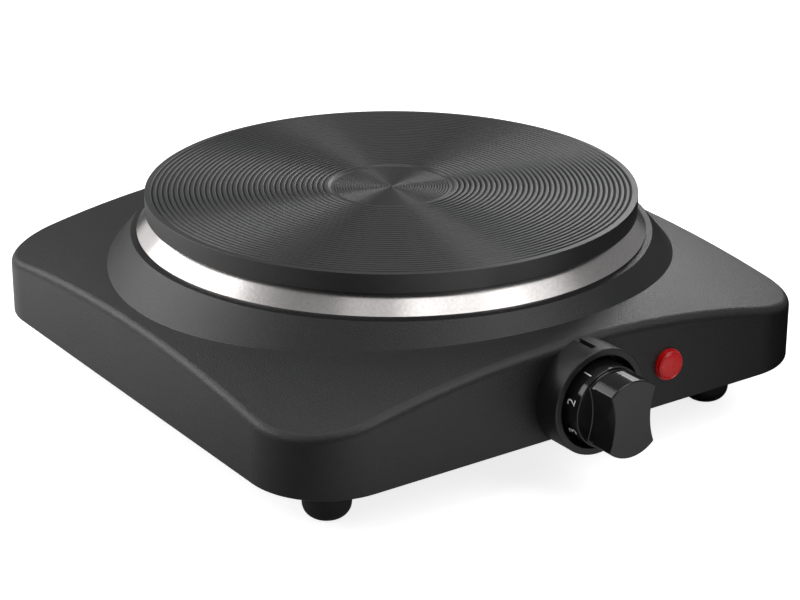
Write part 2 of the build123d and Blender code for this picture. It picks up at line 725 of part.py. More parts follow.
# Spring clip between the spindle's flat and the knob
with BuildPart() as knob_clip:
    with BuildSketch(knob_face.offset(spindle_in_knob - seat_gap)):
        with Locations((0, spindle_flat + clip_sheet / 2)):
            Rectangle(clip_width, clip_sheet)
    extrude(amount=-clip_length)
finish(knob_clip, "knob_clip")

# Thermostat: bracket and bush on the wall, then a riveted stack of leaves and insulators
with BuildPart() as thermostat_bracket:
    bracket_left = stack_offset - insulator_radius - bracket_edge
    bracket_right = fixing_spacing / 2 + bracket_margin
    with BuildSketch(knob_face.offset(-sheet)):
        with Locations(((bracket_left + bracket_right) / 2, 0)):
            Rectangle(bracket_right - bracket_left, 2 * bracket_half_height)
        Circle(bush_radius + seat_gap, mode=Mode.SUBTRACT)
        with GridLocations(fixing_spacing, 1, 2, 1):
            Circle(fixing_radius + seat_gap, mode=Mode.SUBTRACT)
        with Locations((stack_offset, 0)):
            Circle(rivet_radius + seat_gap, mode=Mode.SUBTRACT)
    extrude(amount=-bracket_sheet)
finish(thermostat_bracket, "thermostat_bracket")

with BuildPart() as thermostat_bush:
    revolve(outline(knob_section, (spindle_radius + running_gap, bush_out), (bush_radius, bush_out),
                    (bush_radius, -stack_start), (bush_flange_radius, -stack_start),
                    (bush_flange_radius, -bush_end_in), (pin_radius + running_gap, -bush_end_in),
                    (pin_radius + running_gap, bush_end_wall - bush_end_in),
                    (spindle_radius + running_gap, bush_end_wall - bush_end_in)), axis=knob_axis)
finish(thermostat_bush, "thermostat_bush")

fixing_screw = pan_screw(fixing_radius, collar_floor + sheet + bracket_sheet + screw_tip)
with BuildPart() as thermostat_screws:
    with Locations(Plane(origin=(0, front_y - collar_floor, knob_z), x_dir=(1, 0, 0), z_dir=(0, 1, 0))):
        with GridLocations(fixing_spacing, 1, 2, 1):
            add(fixing_screw)
finish(thermostat_screws, "thermostat_screws")

with BuildPart() as thermostat_insulators:
    for start, end in ((stack_start, leaf_in), (leaf_in + leaf_sheet, carrier_in),
                       (carrier_in + carrier_sheet, stack_end_in)):
        with BuildSketch(knob_face.offset(-start)):
            with Locations((stack_offset, 0)):
                Circle(insulator_radius)
                Circle(rivet_radius + seat_gap, mode=Mode.SUBTRACT)
        extrude(amount=start - end)
finish(thermostat_insulators, "thermostat_insulators")

with BuildPart() as thermostat_rivet:
    with BuildSketch(knob_face.offset(-sheet)):
        with Locations((stack_offset, 0)):
            Circle(rivet_radius)
    extrude(amount=sheet - stack_end_in)
    with BuildSketch(knob_face.offset(-stack_end_in)):
        with Locations((stack_offset, 0)):
            Circle(rivet_radius * head_ratio)
    extrude(amount=-rivet_head)
finish(thermostat_rivet, "thermostat_rivet")

with BuildPart() as leaf_terminal:
    blade_tip = stack_offset - blade_length
    with BuildSketch(knob_face.offset(-leaf_in)):
        with Locations(((blade_tip + leaf_root) / 2 - touch_gap, 0)):
            Rectangle(leaf_root - blade_tip - 2 * touch_gap, blade_width)
        with Locations((stack_offset, 0)):
            Circle(rivet_radius + seat_gap, mode=Mode.SUBTRACT)
    extrude(amount=-leaf_sheet)
finish(leaf_terminal, "leaf_terminal")

# Moving contact leaf: bends at its rolled root as the push pin presses it
leaf_tip = contact_offset + contact_radius
leaf_y = front_y + leaf_in + leaf_sheet / 2
with BuildPart() as contact_leaf:
    with BuildSketch(knob_face.offset(-leaf_in)):
        with Locations(((leaf_root + leaf_tip) / 2, 0)):
            Rectangle(leaf_tip - leaf_root, leaf_width)
    extrude(amount=-leaf_sheet)
    with BuildSketch(knob_face.offset(-leaf_in - leaf_sheet)):
        with Locations((contact_offset, 0)):
            Circle(contact_radius)
    extrude(amount=-contact_thickness)
    with BuildSketch(Plane.XY.offset(knob_z - leaf_width / 2)):
        with Locations((leaf_root, leaf_y)):
            Circle(leaf_sheet / 2)
    extrude(amount=leaf_width)
finish(contact_leaf, "contact_leaf")

with BuildPart() as bimetal_carrier:
    carrier_left = stack_offset - insulator_radius - carrier_sheet
    with BuildSketch(knob_face.offset(-carrier_in)):
        with Locations(((carrier_left + leaf_tip) / 2, 0)):
            Rectangle(leaf_tip - carrier_left, blade_width)
        with Locations((stack_offset, 0)):
            Circle(rivet_radius + seat_gap, mode=Mode.SUBTRACT)
    extrude(amount=-carrier_sheet)
    with BuildSketch(knob_face.offset(-carrier_in)):
        with Locations((carrier_left + carrier_sheet / 2, 0)):
            Rectangle(carrier_sheet, blade_width)
    extrude(amount=-blade_length)
    with BuildSketch(knob_face.offset(-carrier_in)):
        with Locations((contact_offset, 0)):
            Circle(contact_radius)
    extrude(amount=contact_thickness)
finish(bimetal_carrier, "bimetal_carrier")

with BuildPart() as bimetal_strip:
    with BuildSketch(knob_face.offset(-carrier_in - carrier_sheet)):
        with Locations(((leaf_root + leaf_tip) / 2, 0)):
            Rectangle(leaf_tip - leaf_root, leaf_width)
    extrude(amount=-bimetal_sheet)
finish(bimetal_strip, "bimetal_strip")

with BuildPart() as push_pin:
    pin_start = spindle_end_in + touch_gap
    with BuildSketch(knob_face.offset(-pin_start)):
        Circle(pin_radius)
    extrude(amount=pin_start + touch_gap - leaf_in)
    fillet(push_pin.edges().sort_by(Axis.Y)[-1], pin_tip_round)
finish(push_pin, "push_pin")

# Indicator lamp: red lens with its barrel, neon lamp inside, push nut behind the wall
with BuildPart() as lamp_lens:
    with BuildSketch(lamp_section):
        with BuildLine():
            TangentArc((0, lens_reach), (lens_dome_radius, lens_rim), tangent=(1, 0))
            Polyline((lens_dome_radius, lens_rim),
                     (lens_dome_radius + lens_groove / 2, lens_rim - lens_groove_depth),
                     (lens_dome_radius + lens_groove, lens_rim), (lens_radius - lens_rim_round, lens_rim),
                     (lens_radius, lens_rim - lens_rim_round), (lens_radius, lens_flange),
                     (lens_flange_radius, lens_flange), (lens_flange_radius, 0), (lens_barrel_radius, 0),
                     (lens_barrel_radius, -lens_barrel), (lens_barrel_radius - lens_wall, -lens_barrel),
                     (lens_barrel_radius - lens_wall, lens_reach - lens_face), (0, lens_reach - lens_face),
                     (0, lens_reach))
        make_face()
    revolve(axis=lamp_axis)
finish(lamp_lens, "lamp_lens")

with BuildPart() as neon_lamp:
    neon_end = lens_barrel - lens_wall
    revolve(outline(lamp_section, (0, -neon_end), (neon_radius, -neon_end),
                    (neon_radius, neon_length - neon_end), (0, neon_length - neon_end)), axis=lamp_axis)
    fillet(neon_lamp.edges().sort_by(Axis.Y)[0], neon_tip_round)
finish(neon_lamp, "neon_lamp")

with BuildPart() as lamp_push_nut:
    revolve(outline(lamp_section, (lens_barrel_radius + running_gap, -sheet), (push_nut_radius, -sheet),
                    (push_nut_radius, -sheet - push_nut_sheet),
                    (lens_barrel_radius + running_gap, -sheet - push_nut_sheet)), axis=lamp_axis)
finish(lamp_push_nut, "lamp_push_nut")

# Rubber gland for the supply cord in the rear wall
with BuildPart() as cord_gland:
    revolve(outline(gland_section, (gland_bore, -sheet - gland_inner),
                    (gland_inner_radius, -sheet - gland_inner), (gland_inner_radius, -sheet),
                    (gland_neck, -sheet), (gland_neck, 0), (gland_flange_radius, 0),
                    (gland_flange_radius, gland_flange), (gland_bore, gland_flange)), axis=gland_axis)
finish(cord_gland, "cord_gland")


def wire(name, radius, *routes):
    """Insulated wires, each a tube along straight runs joined by arcs."""
    with BuildPart() as loom:
        for route in routes:
            with BuildLine() as path:
                FilletPolyline(*route, radius=wire_bend)
            with BuildSketch(Plane(origin=path.line @ 0, z_dir=path.line % 0)):
                Circle(radius)
            sweep()
    finish(loom, name)


# Wires between the block, the thermostat, the plate's terminals and the lamp
carrier_blade_x = stack_offset - insulator_radius - carrier_sheet / 2
carrier_blade_y = front_y + carrier_in + blade_length
block_y = -block_width / 2
wire_in_block = block_y + wire_entry
lug_z = bridge_z - lug_sheet / 2
earth_run_y = -lug_length - wire_bend - wire_straight
near_pin, far_pin = terminal_places
wire("wire_live", wire_radius, (
    (insert_places[0], wire_in_block, insert_z), (insert_places[0], near_pin[1], insert_z),
    (insert_places[0], leaf_y, knob_z), (stack_offset - blade_length - 2 * touch_gap, leaf_y, knob_z)))
wire("wire_switched", wire_radius, (
    (carrier_blade_x, carrier_blade_y, knob_z), (carrier_blade_x, far_pin[1], knob_z),
    (far_pin[0], far_pin[1], knob_z), (far_pin[0], far_pin[1], terminal_z)))
wire("wire_neutral", wire_radius, (
    (insert_places[1], wire_in_block, insert_z), (insert_places[1], near_pin[1], insert_z),
    (near_pin[0], near_pin[1], insert_z - wire_bend), (near_pin[0], near_pin[1], terminal_z)))
wire("wire_earth", wire_radius, (
    (insert_places[2], wire_in_block, insert_z), (insert_places[2], earth_run_y, insert_z),
    (earth_offset, earth_run_y, lug_z), (earth_offset, -lug_length, lug_z)))
lead_y = front_y + lens_barrel - lens_wall
lead_z = terminal_z + 2 * wire_radius
right_lead_x = lamp_offset + lead_spread
left_lead_x = lamp_offset - lead_spread
wire("lamp_leads", lead_radius, (
    (right_lead_x, lead_y, lamp_z), (right_lead_x, far_pin[1], lamp_z),
    (right_lead_x, far_pin[1], lead_z), (far_pin[0] + pin_terminal_radius, far_pin[1], lead_z)), (
    (left_lead_x, lead_y, lamp_z), (left_lead_x, near_pin[1], lamp_z),
    (left_lead_x, near_pin[1], lead_z), (near_pin[0] + pin_terminal_radius, near_pin[1], lead_z)))
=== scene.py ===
# %% [markdown]
# # A single electric hot plate
# The object is a round cast-iron plate on a domed steel housing, with one thermostat knob and a red lamp.
# Its solids come from a CAD model, so every piece already has its right place and size, in metres.
# Here those solids are dressed. Most of them keep their mesh and get a finish. The cooking plate is turned
# again in Blender, because a profile with worn edges shows its grooves better, and the dial gets its
# printed numbers.

# %% Load the frame
import json
from math import cos, pi, radians, sin

import bpy
from mathutils import Matrix, Vector


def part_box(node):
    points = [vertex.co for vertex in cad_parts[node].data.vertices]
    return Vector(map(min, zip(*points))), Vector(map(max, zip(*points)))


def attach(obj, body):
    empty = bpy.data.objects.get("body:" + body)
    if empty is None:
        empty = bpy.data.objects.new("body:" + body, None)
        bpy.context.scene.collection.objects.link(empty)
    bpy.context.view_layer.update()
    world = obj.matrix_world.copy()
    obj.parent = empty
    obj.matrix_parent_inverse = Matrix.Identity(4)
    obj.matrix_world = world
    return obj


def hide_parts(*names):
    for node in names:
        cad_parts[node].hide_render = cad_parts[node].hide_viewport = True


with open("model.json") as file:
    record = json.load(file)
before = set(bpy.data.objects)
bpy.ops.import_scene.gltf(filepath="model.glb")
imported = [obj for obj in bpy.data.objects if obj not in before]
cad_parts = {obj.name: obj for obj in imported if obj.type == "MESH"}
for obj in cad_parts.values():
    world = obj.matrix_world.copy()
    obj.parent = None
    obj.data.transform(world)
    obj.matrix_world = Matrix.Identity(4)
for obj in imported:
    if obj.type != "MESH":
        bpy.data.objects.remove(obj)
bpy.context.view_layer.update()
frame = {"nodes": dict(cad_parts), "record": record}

# %% [markdown]
# ## The camera
# A product shot is taken from a little above, with a long lens, so that the plate is a calm ellipse.
# The lens axis doesn't pass through the middle of the picture, as in a frame that is cropped after the shot.
# Turning the camera could bring the burner to its place too, but a small lens shift keeps the perspective.

# %% Camera
MM = 0.001
PICTURE_WIDTH = 800
AXIS_LEFT_OF_MIDDLE = 8.68  # pixels from the middle of the picture to the lens axis
AXIS_ABOVE_MIDDLE = 41.03
SENSOR_WIDTH = 36.0  # mm, as the lens
LENS = 104.83
camera_place = Vector((-469.2, -681.7, 365.5)) * MM
camera_target = Vector((0, 0, 47.28)) * MM

camera_data = bpy.data.cameras.new("product_camera")
camera = bpy.data.objects.new("product_camera", camera_data)
bpy.context.scene.collection.objects.link(camera)
camera.location = camera_place
camera.rotation_euler = (camera_target - camera_place).to_track_quat("-Z", "Y").to_euler()
camera_data.sensor_width = SENSOR_WIDTH
camera_data.lens = LENS
camera_data.shift_x = AXIS_LEFT_OF_MIDDLE / PICTURE_WIDTH
camera_data.shift_y = -AXIS_ABOVE_MIDDLE / PICTURE_WIDTH
bpy.context.scene.camera = camera
bpy.context.scene.view_settings.view_transform = "Standard"
print("camera distance:", round((camera_target - camera_place).length, 3), "m")

# %% [markdown]
# ## The paper floor
# The photograph has a white ground. White paper could be lit by strong lamps, but they would bleach the
# burner too. So the floor is pale and catches the shadow, and rays that come straight from the camera or
# through glass also see it shine a little: the paper is white, and only the shadow under the burner stays.
# Glossy rays see two soft pools of light in its place, as panels near the paper would leave on it. The dark
# paint mirrors those pools as soft bands.

# %% Floor plane
FLOOR_SIZE = 12.0
PAPER = (0.86, 0.86, 0.86, 1.0)
PAPER_ROUGHNESS = 0.9
bpy.ops.object.select_all(action="DESELECT")
bpy.ops.mesh.primitive_plane_add(size=FLOOR_SIZE)
floor = bpy.context.object
floor.name = "floor"
floor_finish = bpy.data.materials.new("pale_floor")
floor_finish.use_nodes = True
floor_tree = floor_finish.node_tree
paper = floor_tree.nodes["Principled BSDF"]
paper.inputs["Base Color"].default_value = PAPER
paper.inputs["Roughness"].default_value = PAPER_ROUGHNESS
floor.data.materials.append(floor_finish)
print("floor:", FLOOR_SIZE, "m across")

# %% Paper that shines for the camera
WHITE = (1.0, 1.0, 1.0, 1.0)
PAPER_GLOW = 0.8


def link(tree, start, end):
    """Join an output socket to an input socket."""
    tree.links.new(start, end)


def shine(tree, kind, strength):
    """A white emission or background node of this strength."""
    glow = tree.nodes.new(kind)
    glow.inputs["Color"].default_value = WHITE
    glow.inputs["Strength"].default_value = strength
    return glow


white_paper = floor_tree.nodes.new("ShaderNodeAddShader")
link(floor_tree, paper.outputs[0], white_paper.inputs[0])
link(floor_tree, shine(floor_tree, "ShaderNodeEmission", PAPER_GLOW).outputs[0], white_paper.inputs[1])
print("paper glow:", PAPER_GLOW)

# %% Pools of light for glossy rays
LEFT_POOL = {"place": (-0.42, 0.30), "reach": 0.55, "tone": 1.7}
FRONT_POOL = {"place": (-0.02, -0.34), "reach": 0.26, "tone": 1.85}


def maths(tree, operation, first):
    """A maths node of this kind with its first input joined."""
    node = tree.nodes.new("ShaderNodeMath")
    node.operation = operation
    link(tree, first, node.inputs[0])
    return node


def pool(tree, place, reach, tone):
    """A soft round pool of light on the paper: tone at its middle, 0 at its reach."""
    where = tree.nodes.new("ShaderNodeTexCoord")
    centred = tree.nodes.new("ShaderNodeMapping")
    centred.vector_type = "TEXTURE"
    centred.inputs["Location"].default_value = (*place, 0.0)
    centred.inputs["Scale"].default_value = (reach, reach, reach)
    fade = tree.nodes.new("ShaderNodeTexGradient")
    fade.gradient_type = "SPHERICAL"
    link(tree, where.outputs["Object"], centred.inputs["Vector"])
    link(tree, centred.outputs["Vector"], fade.inputs["Vector"])
    level = maths(tree, "MULTIPLY", fade.outputs["Fac"])
    level.inputs[1].default_value = tone
    return level.outputs[0]


pools = maths(floor_tree, "ADD", pool(floor_tree, **LEFT_POOL))
link(floor_tree, pool(floor_tree, **FRONT_POOL), pools.inputs[1])
lit_paper = shine(floor_tree, "ShaderNodeEmission", 0.0)
link(floor_tree, pools.outputs[0], lit_paper.inputs["Strength"])
print("pools of light at:", LEFT_POOL["place"], FRONT_POOL["place"])


# %% Which rays see which paper
def blended(tree, factor, first, second):
    """Mix two shaders; the output shows the second one where factor is 1."""
    mix = tree.nodes.new("ShaderNodeMixShader")
    link(tree, factor, mix.inputs["Fac"])
    link(tree, first, mix.inputs[1])
    link(tree, second, mix.inputs[2])
    return mix.outputs[0]


def seen_directly(tree, path):
    """1 for rays from the camera and for rays through glass."""
    either = maths(tree, "MAXIMUM", path.outputs["Is Camera Ray"])
    link(tree, path.outputs["Is Transmission Ray"], either.inputs[1])
    return either.outputs[0]


floor_path = floor_tree.nodes.new("ShaderNodeLightPath")
floor_seen = seen_directly(floor_tree, floor_path)
mirrored = blended(floor_tree, floor_path.outputs["Is Glossy Ray"], paper.outputs[0], lit_paper.outputs[0])
link(floor_tree, blended(floor_tree, floor_seen, mirrored, white_paper.outputs[0]),
     floor_tree.nodes["Material Output"].inputs["Surface"])
print("floor shader nodes:", len(floor_tree.nodes))

# %% [markdown]
# ## The tent
# Around the burner stands a white tent, as photographers use for shiny things. It gives a weak even light, so
# that nothing turns quite black. It could be a modelled dome, but Blender's world is a dome already.
# The camera sees it as pure white, which makes the background of the picture.

# %% World
TENT_COLOUR = (0.97, 0.98, 1.0, 1.0)
TENT_STRENGTH = 0.24
TENT_GLOW = 1.0  # as the camera sees it
world = bpy.data.worlds.new("white_tent")
bpy.context.scene.world = world
world.use_nodes = True
tent_tree = world.node_tree
tent = tent_tree.nodes["Background"]
tent.inputs["Color"].default_value = TENT_COLOUR
tent.inputs["Strength"].default_value = TENT_STRENGTH
white_tent = shine(tent_tree, "ShaderNodeBackground", TENT_GLOW)
tent_seen = seen_directly(tent_tree, tent_tree.nodes.new("ShaderNodeLightPath"))
link(tent_tree, blended(tent_tree, tent_seen, tent.outputs[0], white_tent.outputs[0]),
     tent_tree.nodes["World Output"].inputs["Surface"])
print("tent strength:", TENT_STRENGTH)

# %% [markdown]
# ## The lamps
# Dark, glossy pieces are drawn by what they mirror more than by the light that falls on them. Small lamps
# would show as hard spots, so these are large soft panels. Those behind are mirrored mostly by the top faces,
# those in front by the rounded edges, the ring and the knob.
# A lamp is given its power, which has to grow with its area to look as bright. So each panel states its
# brightness, and the power is worked out from it.

# %% Soft panels
panels = (
    # name, turn round the object (degrees from +X), height angle, distance, width, height, brightness
    ("back_left_panel", 128, 30, 1.5, 1.3, 0.8, 2.95),
    ("back_high_panel", 106, 43, 1.5, 0.5, 0.4, 2.0),
    ("back_low_panel", 95, 9, 2.0, 0.7, 0.45, 0.75),
    ("left_panel", 165, 32, 1.5, 0.8, 0.8, 1.4),
    ("front_left_panel", -150, 40, 1.5, 0.8, 0.8, 0.3),
    ("front_overhead_panel", -124, 68, 1.5, 0.8, 0.8, 0.5),
    ("front_high_panel", -96, 62, 1.5, 0.5, 0.4, 1.4),
    ("front_right_panel", -72, 37, 1.5, 0.6, 0.65, 2.9),
    ("front_right_high_panel", -64, 57, 1.5, 0.5, 0.4, 1.0),
    ("right_panel", -38, 58, 1.5, 0.7, 0.9, 1.2),
    ("overhead_panel", 60, 78, 1.5, 0.8, 0.8, 1.7),
    ("back_right_panel", 38, 32, 2.0, 0.55, 0.5, 4.9),
    ("back_right_strip", 38, 18, 2.0, 0.7, 0.42, 1.9),
)
for name, turn, rise, distance, width, height, brightness in panels:
    lamp = bpy.data.lights.new(name, "AREA")
    lamp.shape = "RECTANGLE"
    lamp.size = width
    lamp.size_y = height
    lamp.energy = pi * width * height * brightness
    holder = bpy.data.objects.new(name, lamp)
    bpy.context.scene.collection.objects.link(holder)
    flat = distance * cos(radians(rise))
    holder.location = (flat * cos(radians(turn)), flat * sin(radians(turn)), distance * sin(radians(rise)))
    holder.rotation_euler = (camera_target - holder.location).to_track_quat("-Z", "Y").to_euler()
print("soft panels:", [panel[0] for panel in panels])

# %% [markdown]
# ## Shared surface effects
# Paint, cast iron, plastic and zinc all have a fine grain, and all of them pick up faint smears from hands.
# Painted images could show that, but they blur close up. Each effect here is a small node group of noise in
# object space, built once. A material places it with its own scale.

# %% Grain and smears
def new_group(name, scale, outputs):
    """An empty shader group with a Scale input and these float outputs."""
    group = bpy.data.node_groups.new(name, "ShaderNodeTree")
    size = group.interface.new_socket("Scale", in_out="INPUT", socket_type="NodeSocketFloat")
    size.default_value = scale
    for socket in outputs:
        group.interface.new_socket(socket, in_out="OUTPUT", socket_type="NodeSocketFloat")
    return group, group.nodes.new("NodeGroupInput"), group.nodes.new("NodeGroupOutput")


def noise_in(group, group_in, detail, low, high):
    """A noise node of the group's scale, and its value stretched so that low becomes 0 and high becomes 1."""
    place = group.nodes.new("ShaderNodeTexCoord")
    noise = group.nodes.new("ShaderNodeTexNoise")
    noise.inputs["Detail"].default_value = detail
    link(group, place.outputs["Object"], noise.inputs["Vector"])
    link(group, group_in.outputs["Scale"], noise.inputs["Scale"])
    stretched = group.nodes.new("ShaderNodeMapRange")
    stretched.inputs["From Min"].default_value = low
    stretched.inputs["From Max"].default_value = high
    link(group, noise.outputs["Fac"], stretched.inputs["Value"])
    return noise, stretched.outputs["Result"]


grain, grain_in, grain_out = new_group("fine_grain", 900.0, ("Height", "Speckle"))
grain_noise, speckle = noise_in(grain, grain_in, detail=3.0, low=0.35, high=0.65)
grain_noise.inputs["Roughness"].default_value = 0.55
link(grain, grain_noise.outputs["Fac"], grain_out.inputs["Height"])
link(grain, speckle, grain_out.inputs["Speckle"])

smears, smears_in, smears_out = new_group("hand_smears", 14.0, ("Mask",))
smears_noise, smear_mask = noise_in(smears, smears_in, detail=5.0, low=0.42, high=0.68)
smears_noise.inputs["Distortion"].default_value = 0.6
link(smears, smear_mask, smears_out.inputs["Mask"])
print("groups:", grain.name, smears.name)

# %% [markdown]
# ## The housing's paint
# The pressed steel housing has a satin charcoal paint with a fine texture. One flat colour could stand for
# it, but real paint is never quite even. So the grain mixes two close shades and raises a very small bump,
# and the smears mix two levels of gloss. The function that does this makes all the other finishes too.

# %% A finish from its shades, gloss and grain
ACROSS_THE_MARKS = 0.25  # of a turn: highlights spread across lathe marks, not along them
CHARCOAL = {"dark": (0.0075, 0.0075, 0.0078), "light": (0.0105, 0.0105, 0.011)}
SATIN = {"gloss": (0.32, 0.37), "scale": 2200.0}
finishes = {}


def mixed(tree, factor, first, second):
    """A colour mix node's output, from first to second as factor goes from 0 to 1."""
    mix = tree.nodes.new("ShaderNodeMix")
    mix.data_type = "RGBA"
    link(tree, factor, mix.inputs["Factor"])
    mix.inputs["A"].default_value = (*first, 1.0)
    mix.inputs["B"].default_value = (*second, 1.0)
    return mix.outputs["Result"]


def ranged(tree, factor, low, high):
    """A value that goes from low to high as factor goes from 0 to 1."""
    span = tree.nodes.new("ShaderNodeMapRange")
    link(tree, factor, span.inputs["Value"])
    span.inputs["To Min"].default_value = low
    span.inputs["To Max"].default_value = high
    return span.outputs["Result"]


def add_finish(name, dark, light, gloss, scale, depth, metallic=0.0, turned_z=0.0, bend=1.5):
    """Make a material from two shades, its roughness (low, high), and its grain's scale and depth in metres.

    turned_z is how strongly lathe marks round the upright axis stretch the highlights; bend is the index of
    refraction, which sets how strong the highlights of a plain (not metallic) surface are.
    """
    material = bpy.data.materials.new(name)
    material.use_nodes = True
    tree = material.node_tree
    surface = tree.nodes["Principled BSDF"]
    surface.inputs["Metallic"].default_value = metallic
    surface.inputs["IOR"].default_value = bend
    surface.inputs["Anisotropic"].default_value = turned_z
    surface.inputs["Anisotropic Rotation"].default_value = ACROSS_THE_MARKS
    if turned_z:
        marks = tree.nodes.new("ShaderNodeTangent")
        marks.direction_type = "RADIAL"
        marks.axis = "Z"
        link(tree, marks.outputs["Tangent"], surface.inputs["Tangent"])
    fine = tree.nodes.new("ShaderNodeGroup")
    fine.node_tree = grain
    fine.inputs["Scale"].default_value = scale
    hands = tree.nodes.new("ShaderNodeGroup")
    hands.node_tree = smears
    link(tree, mixed(tree, fine.outputs["Speckle"], dark, light), surface.inputs["Base Color"])
    link(tree, ranged(tree, hands.outputs["Mask"], *gloss), surface.inputs["Roughness"])
    bump = tree.nodes.new("ShaderNodeBump")
    bump.inputs["Distance"].default_value = depth
    link(tree, fine.outputs["Height"], bump.inputs["Height"])
    link(tree, bump.outputs["Normal"], surface.inputs["Normal"])
    finishes[name] = material


add_finish("housing_paint", **CHARCOAL, **SATIN, depth=0.00016)
print("finishes:", list(finishes))

# %% [markdown]
# ## Turned iron and polished steel
# The plate has a dark heat-proof coat over turned iron, and the trim ring is stainless steel, a little warm.
# Both have fine marks round the upright axis, which stretch their highlights. On the plate they make a
# bow-tie of light. Such marks could be modelled, but they are finer than a pixel. So the highlight itself is
# stretched across the marks, and only the grooves that show one by one are modelled.

# %% Plate and ring finishes
add_finish("cast_plate", dark=(0.016, 0.016, 0.0165), light=(0.021, 0.021, 0.0215),
           gloss=(0.365, 0.395), scale=1500.0, depth=0.00002, turned_z=0.7, bend=1.6)
add_finish("stainless_ring", dark=(0.61, 0.585, 0.57), light=(0.67, 0.645, 0.63),
           gloss=(0.23, 0.27), scale=900.0, depth=0.00001, metallic=1.0, turned_z=0.5)
print("finishes:", list(finishes))

# %% [markdown]
# ## Plastics, rubber and the cover
# The collar is moulded to match the paint, with a finer bump. The knob is glossy black plastic, the feet and
# the gland are dull rubber, and the cover below is painted steel. The lens is red plastic: it could let light
# through, but it is small and nothing behind it shows, so a deep red surface is enough. White is for the
# print on the dial and the sleeves of the lamp's leads.

# %% Plastic, rubber and cover finishes
add_finish("collar_plastic", **CHARCOAL, **SATIN, depth=0.00012)
add_finish("knob_plastic", dark=(0.006, 0.006, 0.0065), light=(0.009, 0.009, 0.0095),
           gloss=(0.1, 0.14), scale=1500.0, depth=0.00001)
add_finish("red_lens", dark=(0.5, 0.003, 0.005), light=(0.58, 0.005, 0.008),
           gloss=(0.24, 0.3), scale=400.0, depth=0.00001)
add_finish("foot_rubber", dark=(0.008, 0.008, 0.008), light=(0.014, 0.014, 0.014),
           gloss=(0.55, 0.7), scale=1200.0, depth=0.00006)
add_finish("cover_steel", dark=(0.012, 0.012, 0.012), light=(0.022, 0.022, 0.022),
           gloss=(0.5, 0.6), scale=1500.0, depth=0.00005)
add_finish("white_plastic", dark=(0.72, 0.72, 0.7), light=(0.82, 0.82, 0.8),
           gloss=(0.45, 0.6), scale=900.0, depth=0.00003)
print("finishes:", len(finishes))

# %% [markdown]
# ## Pieces inside
# Under the shell the pieces keep the look of their stock: bright zinc on brackets and screws, brass on the
# contacts, unglazed ceramic on the insulators, and sleeves in the usual colours on the wires. The picture
# doesn't show them, so they could stay grey, but with the shell hidden each is known by its colour.

# %% Inside finishes
SLEEVE = {"gloss": (0.45, 0.6), "scale": 900.0, "depth": 0.00003}
BARE_METAL = {"scale": 700.0, "depth": 0.00002, "metallic": 1.0}
add_finish("zinc_steel", (0.52, 0.53, 0.54), (0.66, 0.67, 0.68), gloss=(0.28, 0.42), **BARE_METAL)
add_finish("brass", (0.62, 0.46, 0.19), (0.74, 0.58, 0.28), gloss=(0.28, 0.4), **BARE_METAL)
add_finish("bimetal", (0.5, 0.4, 0.32), (0.62, 0.52, 0.43), gloss=(0.3, 0.42), **BARE_METAL)
add_finish("heater_wire", (0.16, 0.15, 0.14), (0.3, 0.28, 0.26),
           gloss=(0.5, 0.65), scale=900.0, depth=0.00003, metallic=1.0)
add_finish("ceramic", (0.7, 0.68, 0.62), (0.82, 0.8, 0.75), gloss=(0.5, 0.65), scale=900.0, depth=0.00004)
add_finish("lamp_glass", (0.85, 0.8, 0.75), (0.95, 0.9, 0.85), gloss=(0.05, 0.12), scale=300.0, depth=0.00001)
add_finish("wire_brown", (0.13, 0.05, 0.02), (0.18, 0.075, 0.035), **SLEEVE)
add_finish("wire_blue", (0.02, 0.07, 0.3), (0.035, 0.1, 0.38), **SLEEVE)
add_finish("wire_green", (0.1, 0.25, 0.03), (0.14, 0.32, 0.05), **SLEEVE)
print("finishes:", len(finishes))

# %% [markdown]
# ## Dressing the solids
# The record names a finish for each node of the CAD model. The pieces could be modelled again, but the solids
# already have the housing's dome and the knob's grip. So they keep their mesh and only get that finish.

# %% Finish on each solid
slot_of = {part["node"]: part["material_slot"] for part in frame["record"]["subparts"]}
for node, piece in frame["nodes"].items():
    piece.data.materials.clear()
    piece.data.materials.append(finishes[slot_of[node]])
print("dressed solids:", len(frame["nodes"]))

# %% [markdown]
# ## The cooking plate
# The cast plate is faced on a lathe, which leaves rings of narrow grooves with worn edges, fine rings in the
# shallow recess and a smooth rim. A bump map could fake them, but it has no edges that catch the light.
# A lathe is also the way to make the plate here: one vertex is extruded along the profile, and the profile is
# spun round the upright axis. The profile starts on the axis, in the recess, and all its sizes are in mm.

# %% Recess in the middle
plate_low, plate_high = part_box("hot_plate")
TOP = plate_high.z / MM
RECESS_RADIUS = 23.4
RECESS_DEPTH = 0.6
RECESS_EDGE = 0.5  # half the width of its sloping wall
FINE_PITCH = 1.05  # rings in the recess
FINE_WIDTH = 0.55
FINE_DEPTH = 0.4
recess_floor = TOP - RECESS_DEPTH
profile = [(0, recess_floor)]
fine_count = int((RECESS_RADIUS - RECESS_EDGE) / FINE_PITCH)
for ring in range(fine_count):
    middle = (ring + 0.5) * FINE_PITCH
    profile.append((middle - FINE_WIDTH / 2, recess_floor))
    profile.append((middle, recess_floor - FINE_DEPTH))
    profile.append((middle + FINE_WIDTH / 2, recess_floor))
profile.append((RECESS_RADIUS - RECESS_EDGE, recess_floor))
profile.append((RECESS_RADIUS + RECESS_EDGE, TOP))
print("fine rings:", fine_count)

